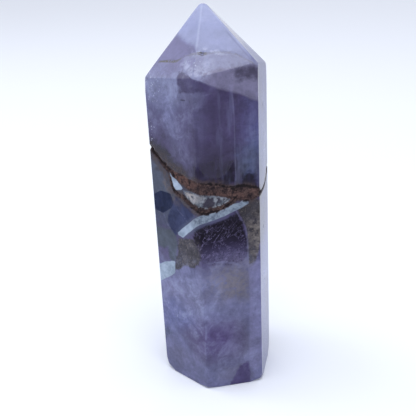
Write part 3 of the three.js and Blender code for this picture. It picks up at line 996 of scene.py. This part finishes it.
# Where the stone is frostier than elsewhere: azimuth, height, half sizes, tilt, softness, strength
FROSTY = [
    (-48, 21, 12, 9, 0, 0.7, 0.7),
    (-28, 23, 7, 4, 25, 0.6, 0.8),
    (-60, 66, 10, 6, 0, 0.6, 0.6),
    (-42, 61, 2.6, 9, -25, 0.6, 0.5),
    (12, 32, 8, 2, 0, 0.8, 0.3),
    (-14, 73.6, 3.2, 1.8, 0, 0.5, 1),
    (-10, 11, 6, 8, 0, 0.7, 0.4),
    (36, 6, 5, 4, 0, 0.6, 0.4),
    (77, 58, 6, 9, -30, 0.6, 0.7),
    (76, 22, 7, 8, 30, 0.6, 0.8),
    (150, 24, 12, 8, 20, 0.7, 0.8),
    (205, 60, 10, 7, -15, 0.7, 0.7),
    (260, 16, 8, 9, 0, 0.7, 0.8),
]

# Frost and a violet spot behind the shoulder, tan fuzz beside the lower arm, and a painted highlight
# just above the shoulder crack
SPOTS = [
    (-15, 73.0, 3.0, 1.4, 0, (200, 205, 232), 0.4),
    (-18, 74.6, 1.2, 0.7, 0, (116, 106, 156), 0.6),
    (-54, 47.6, 1.4, 3.0, -28, (106, 95, 94), 0.75),
    (-38, 45.4, 2.6, 0.9, 8, (84, 78, 86), 0.5),
    # a painted highlight just above the shoulder crack
    (-1, 76.2, 3.4, 0.4, 0, (210, 217, 242), 0.5),
]

# Painted glints, in specks, in the drift of pits, high along the left edge and above the shoulder
PAINTED_GLINTS = [(-66, 17.3, 2.8, 0.8, 34), (-74, 68.5, 2.6, 3.0, 0), (-16, 73.4, 1.8, 1.3, 0)]

DIMMING = 0.8  # the studio is bright, so the tints are dimmed to look in it as they do on a screen
HUE = 0.509  # 0.5 would leave the hues alone, and more turns them towards violet
QUARTZ = {"IOR": 1.544, "Specular IOR Level": 0.12}


def clouded(stone):
    """The stone's colour by height, with its cloudy zones and its outlined ones."""
    top = LAYERS[-1][0]
    drifting = stone.height + (stone.clouds - 0.5) * 8
    body = stone.ramp(drifting * (1 / top), *((level / top, tint) for level, tint in LAYERS))
    for *oval, tint, strength in ZONES:
        share = stone.cloud(*oval)
        if tint == SAND:
            share = share * stone.fine.between(0.3, 0.54)
        body = body.tinted(share * strength, tint)
    shade = stone.edged("facet_shade", 0.3, 0.6, 0.1) * (stone.height.between(70.5, 77) * 0.5 + 0.3)
    body = body.tinted(shade, (112, 108, 158))
    for *edge, tint, strength in OUTLINED:
        body = body.tinted(stone.edged(*edge) * strength, tint)
    return body


def darkened(stone, body, night):
    """Near-black amethyst, which thins to grey low down."""
    thinning = stone.height.between(31, 38.5) * 0.75 + 0.25
    body = body.tinted(night * thinning, (20, 14, 30))
    return body.tinted(stone.height.between(36.5, 32) * night * 0.6, (86, 83, 112))


def browned(stone, body, brown):
    """Brown clouded quartz, burnt in two places and tan at its right end."""
    cloudy = stone.cotton * 0.5 + stone.fine * 0.5
    tint = stone.ramp(cloudy, (0.4, (46, 41, 43)), (0.5, (67, 63, 66)), (0.6, (98, 92, 92)))
    burnt = stone.cloud(30, 42.0, 2.8, 3.4) | stone.cloud(-50, 31, 1.2, 4)
    tint = tint.tinted(burnt * 0.7, (32, 25, 28))
    tan = stone.cloud(42.5, 37, 1.8, 5.2, soft=0.6) * stone.fine.between(0.34, 0.6)
    tint = tint.tinted(tan * 0.75, (142, 132, 124))
    return body.tinted(brown * 0.9, tint)


def mottled(stone, body):
    """Uneven at every size, most of all low down, with upright streaks high on the walls."""
    cotton, fine, clouds, grit = stone.cotton, stone.fine, stone.clouds, stone.grit
    uneven = (cotton - 0.5) * 1.1 + (fine - 0.5) * 0.8 + (clouds - 0.5) * 0.6 + (grit - 0.5) * 0.3
    value = (uneven * (stone.height.between(78, 68) * 0.65 + 0.35) + 1) * DIMMING
    body = stone.node("ShaderNodeHueSaturation", None, {"Hue": HUE, "Value": value, "Color": body})
    tall = stone.oval(14, 57, 9, 12, soft=0.2) | stone.oval(194, 60, 9, 14, soft=0.2)
    body = body.tinted((stone.streaks - 0.5).between(0.0, -0.2) * tall * 0.5, PLUM)
    return body.tinted(stone.streaks.between(0.5, 0.66) * tall * 0.2, LAVENDER)


def veiled(stone, body, night, brown):
    """Fine frosty veils, pale threads in the near-black amethyst, and dark and tan grains."""
    cotton, fine, grit = stone.cotton, stone.fine, stone.grit
    frost = 0.04
    for *oval, strength in FROSTY:
        frost = frost | stone.cloud(*oval) * strength
    veils = (stone.fibres.between(0.42, 0.66) * 0.6 + 0.4) * cotton.between(0.42, 0.64)
    body = body.tinted(veils * frost * (1 - night * 0.7) * 0.75, FROST)
    threads = abs(stone.hairs - 0.5).between(0.014, 0.0) | abs(cotton - 0.5).between(0.012, 0.0)
    lower = stone.height.between(42.5, 37) * 0.7 + 0.3
    body = body.tinted(threads * night * fine.between(0.38, 0.54) * lower * 0.6, (128, 120, 160))
    speckled = night | brown | stone.edged("halo", 1.0, 0.8)
    body = body.tinted(speckled * grit.between(0.46, 0.3) * 0.5, INK)
    return body.tinted(brown * grit.between(0.56, 0.7) * 0.35, (150, 140, 130))


def spotted(stone, body):
    """Small frosty and tan spots with a painted highlight, grey under the bar, and painted glints in specks.
    """
    for *oval, tint, strength in SPOTS:
        share = stone.cloud(*oval, soft=0.7) * stone.fine.between(0.36, 0.6)
        body = body.tinted(share * strength, tint)
    under_bar = stone.mark("bar").between(1.1, 0.1) * stone.oval(-14, 40, 9, 3.4)
    body = body.tinted(under_bar * 0.6, (84, 92, 118))
    # Painted glints in pale specks, brightest high on the left edge
    specks = stone.node("ShaderNodeTexVoronoi", None, {"Vector": stone.place, "Scale": 1.5})
    glint_share = stone.oval(-75.5, 58.6, 1.2, 2.2) * 1.5
    for oval in PAINTED_GLINTS:
        glint_share = glint_share | stone.oval(*oval, soft=0.6)
    return body.tinted(specks.between(0.3, 0.1) * glint_share * 0.6, (206, 212, 236))


def lined(stone, body):
    """A painted highlight along the point's ridges and painted shade beside one of them, healed cracks,
    hairlines and the olive crack.
    """
    edge = stone.mark("edge")
    # A painted highlight along the ridges of the point
    body = body.tinted(edge.between(0.45, 0.05) * stone.height.between(75.5, 77) * 0.3, (204, 212, 242))
    # Painted shade in a thin line beside the ridge right of the front facet
    ridge_shade = abs(edge - 0.6).between(0.25, 0.05) * stone.oval(36, 79.5, 5.5, 6, soft=0.1)
    body = body.tinted(ridge_shade * 0.35, (104, 106, 146))
    pale = (stone.mark("pale_line") + stone.rag * 0.2).between(0.2, -0.2)
    body = body.tinted(pale * stone.cotton.between(0.34, 0.52) * 0.32, PALE)
    body = body.tinted(stone.edged("hairline", 0.2, 0.12) * 0.8, (36, 30, 48))
    seen = stone.oval(-66, 73.6, 6.5, 2.0, soft=0.3) | stone.oval(-7.5, 75.7, 1.0, 0.8, soft=0.3)
    olive = (stone.mark("crack") + stone.rag * 0.3).between(0.12, -0.06) * (seen * 0.7 + 0.3)
    return body.tinted(olive * stone.fine.between(0.36, 0.5), (96, 92, 84))


def white_quartz(stone, bar):
    """The mask and the colour of the milky bars and patches and of the mottled lens under the vein."""
    cotton, fine = stone.cotton, stone.fine
    lens = stone.edged("lens", 0.9, 0.25)
    white = bar | stone.edged("patch", 0.3, 0.12)
    milk = stone.ramp(cotton + (fine - 0.5) * 0.4, (0.34, (124, 138, 156)), (0.62, (160, 174, 194)))
    greyed = (stone.cloud(10, 43.4, 9, 4, soft=0.3) | stone.cloud(182, 41, 15, 6, soft=0.4) * 0.8) * bar
    milk = milk.tinted(greyed * 0.9, stone.ramp(fine, (0.4, (74, 84, 102)), (0.6, (124, 136, 150))))
    mottling = cotton * 0.6 + fine * 0.4
    tint = stone.ramp(mottling, (0.42, (56, 60, 72)), (0.5, (91, 98, 108)), (0.57, (134, 138, 145)))
    creamy = stone.cloud(-27, 46.9, 2.5, 1.3, soft=0.7) * fine.between(0.38, 0.54)
    tint = tint.tinted(creamy * 0.85, (172, 166, 165))
    tint = tint.tinted(stone.edged("lens_spot", 0.9, 0.3, 0.4) * 0.9, (40, 34, 46))
    return white | lens * 0.85, milk.tinted(lens, tint)


def iron_filling(stone, body, bar):
    """The body with the stain round the vein, then the mask and the colour of the vein's rough
    filling, which is blackest along the fissures and rusty in places."""
    fine, rag, tatter = stone.fine, stone.rag, stone.tatter
    iron = stone.mark("vein").math("MINIMUM", stone.mark("arm") - 0.16)
    nearer = iron - stone.oval(-62, 52.8, 8, 3.4) * 0.9
    soak = (nearer + (stone.cotton - 0.5) * 6).between(1.7, -0.2) * 0.65
    body = body.tinted(soak, (56, 49, 58))
    fuzz = (nearer + tatter * 0.3).between(1.2, 0.0) * fine.between(0.42, 0.58)
    body = body.tinted(fuzz * 0.75, (72, 60, 60))
    rust = (iron + rag + tatter * 0.18).between(0.26, -0.14)
    lumpy = fine * 0.35 + stone.grit * 0.3 + stone.ragged * 0.35
    darks = (0.4, (26, 19, 23)), (0.47, (46, 36, 39)), (0.52, (64, 50, 50)), (0.6, (94, 76, 72))
    tint = stone.ramp(lumpy, *darks)
    rusty = stone.cloud(-34, 50.4, 3.2, 1.5, soft=0.6) | stone.cloud(16, 47.2, 8, 1.0, soft=0.6) * 0.5
    tint = tint.tinted(rusty * fine.between(0.4, 0.56) * 0.6, (108, 80, 74))
    black = (stone.mark("fissure") + rag * 0.8 + tatter * 0.08).between(0.16, -0.08)
    tint = tint.tinted(black * 0.85, (20, 16, 20))
    sliver = bar * stone.oval(-46, 49.4, 3.6, 2.4, soft=0.2)
    return body, (rust | black) * (1 - sliver * 0.9), tint


def amethyst():
    material = bpy.data.materials.new("banded_amethyst")
    stone = Stone(material)
    body = clouded(stone)
    night = stone.edged("night", 0.8, 0.5, 0.5)
    body = darkened(stone, body, night)
    brown = stone.edged("brown", 0.6, 0.3, 0.25) * (1 - night * 0.6)
    body = browned(stone, body, brown)
    body = mottled(stone, body)
    body = veiled(stone, body, night, brown)
    body = spotted(stone, body)
    body = lined(stone, body)
    bar = stone.edged("bar", 0.18, 0.1)
    milky, white_tint = white_quartz(stone, bar)
    body, filled, rust_tint = iron_filling(stone, body, bar)

    # Deep dark zones are duller than the clear polished stone round them, and so is the right wall
    dulled = stone.oval(73, 36, 7, 60, soft=0.1) * 0.15
    for name in ("hexagon", "dark_by_vein", "slate"):
        dulled = dulled | stone.edged(name) * 0.6
    dulled = dulled | night * 0.65

    cotton, fine = stone.cotton, stone.fine
    polish = stone.bumps(0.25, 0.12, stone.clouds * 0.8 + cotton * 0.2)
    lumps = stone.bumps(1.0, 0.25, fine * 0.6 + stone.grit * 0.4)
    clear = stone.shader(body, cotton * 0.08 + 0.03, {**QUARTZ, "Transmission Weight": 0.3, "Normal": polish})
    dull = stone.shader(body, fine * 0.2 + 0.5, {"Specular IOR Level": 0.0, "Normal": polish})
    white = stone.shader(white_tint, fine * 0.2 + 0.12, {**QUARTZ, "Normal": polish})
    earthy = {**QUARTZ, "Specular IOR Level": 0.1, "Normal": lumps}
    rust = stone.shader(rust_tint, fine * 0.3 + 0.6, earthy)
    surface = clear
    for share, layer in ((dulled, dull), (milky, white), (filled, rust)):
        surface = stone.node("ShaderNodeMixShader", None, {0: share, 1: surface, 2: layer})
    stone.node("ShaderNodeOutputMaterial", None, {"Surface": surface})
    return material


def plain(name, tint, roughness):
    material = bpy.data.materials.new(name)
    recipe = Recipe(material)
    surface = recipe.shader(colour(*tint), roughness)
    recipe.node("ShaderNodeOutputMaterial", None, {"Surface": surface})
    return material


# The studio: directions from the tower, distances and sides in metres, and radiances
SKY_STRENGTH = 0.95
FLOOR_SIDE = 6.0
LIGHT_TINT = (246, 249, 255)
SOFTBOX_AIM = Vector((0, 0, 0.07))
SOFTBOXES = [
    ("top_softbox", (0.06, -0.26, 0.96), 0.55, 0.32, 4.2),
    ("left_softbox", (-0.74, 0.34, 0.58), 0.65, 0.32, 1.6),
    ("ridge_softbox", (-0.38, 0.04, 0.9), 0.6, 0.16, 6.0),
]


def make_floor():
    mesh = bpy.data.meshes.new("pale_floor")
    half = FLOOR_SIDE / 2
    corners = [(-half, -half, 0), (half, -half, 0), (half, half, 0), (-half, half, 0)]
    mesh.from_pydata(corners, [], [(0, 1, 2, 3)])
    mesh.materials.append(plain("pale_floor", (241, 244, 249), 0.9))
    floor = added("pale_floor", mesh)


def make_sky():
    """Soft light all round, brightest low down, so that the floor fades into it."""
    world = bpy.data.worlds.new("studio")
    bpy.context.scene.world = world
    recipe = Recipe(world)
    way = recipe.node("ShaderNodeTexCoord")
    height = recipe.node("ShaderNodeSeparateXYZ", None, {0: way}, 2)
    tint = recipe.ramp(height, (0.0, (250, 251, 253)), (0.3, (248, 249, 253)), (0.8, (226, 230, 242)))
    shine = recipe.node("ShaderNodeBackground", None, {"Color": tint, "Strength": SKY_STRENGTH})
    recipe.node("ShaderNodeOutputWorld", None, {"Surface": shine})


def make_softbox(name, way, distance, side, radiance):
    """A square light that shines on the tower from a direction."""
    lamp = bpy.data.lights.new(name, "AREA")
    lamp.size = side
    lamp.energy = radiance * math.pi * side * side
    lamp.color = colour(*LIGHT_TINT)[:3]
    way = Vector(way).normalized()
    place = Matrix.Translation(SOFTBOX_AIM + way * distance)
    added(name, lamp).matrix_world = place @ (-way).to_track_quat("-Z", "Y").to_matrix().to_4x4()


# The camera, worked out from the tower's corners in the photograph: a near view from above
PICTURE, FOCAL = 416, 700  # pixels
PITCH, ROLL = 22.31, -2.568  # degrees
EYE = Vector((-1.316, -145.27, 99.45)) * MM


def make_camera():
    pitch, roll = math.radians(PITCH), math.radians(ROLL)
    forward = Vector((0, math.cos(pitch), -math.sin(pitch)))
    level = Vector((1, 0, 0))
    rise = level.cross(forward)
    right = math.cos(roll) * level + math.sin(roll) * rise
    up = right.cross(forward)
    turn = Matrix((right, up, -forward)).transposed()
    lens = bpy.data.cameras.new("camera")
    lens.sensor_width = 36
    lens.lens = lens.sensor_width * FOCAL / PICTURE
    lens.clip_start = 0.01
    camera = added("camera", lens)
    camera.matrix_world = Matrix.Translation(EYE) @ turn.to_4x4()
    bpy.context.scene.camera = camera


crystal = make_crystal()
crystal.data.materials.append(amethyst())
make_floor()
make_sky()
for softbox in SOFTBOXES:
    make_softbox(*softbox)
make_camera()
bpy.context.scene.view_settings.view_transform = "Standard"

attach(crystal, "root")
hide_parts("crystal")
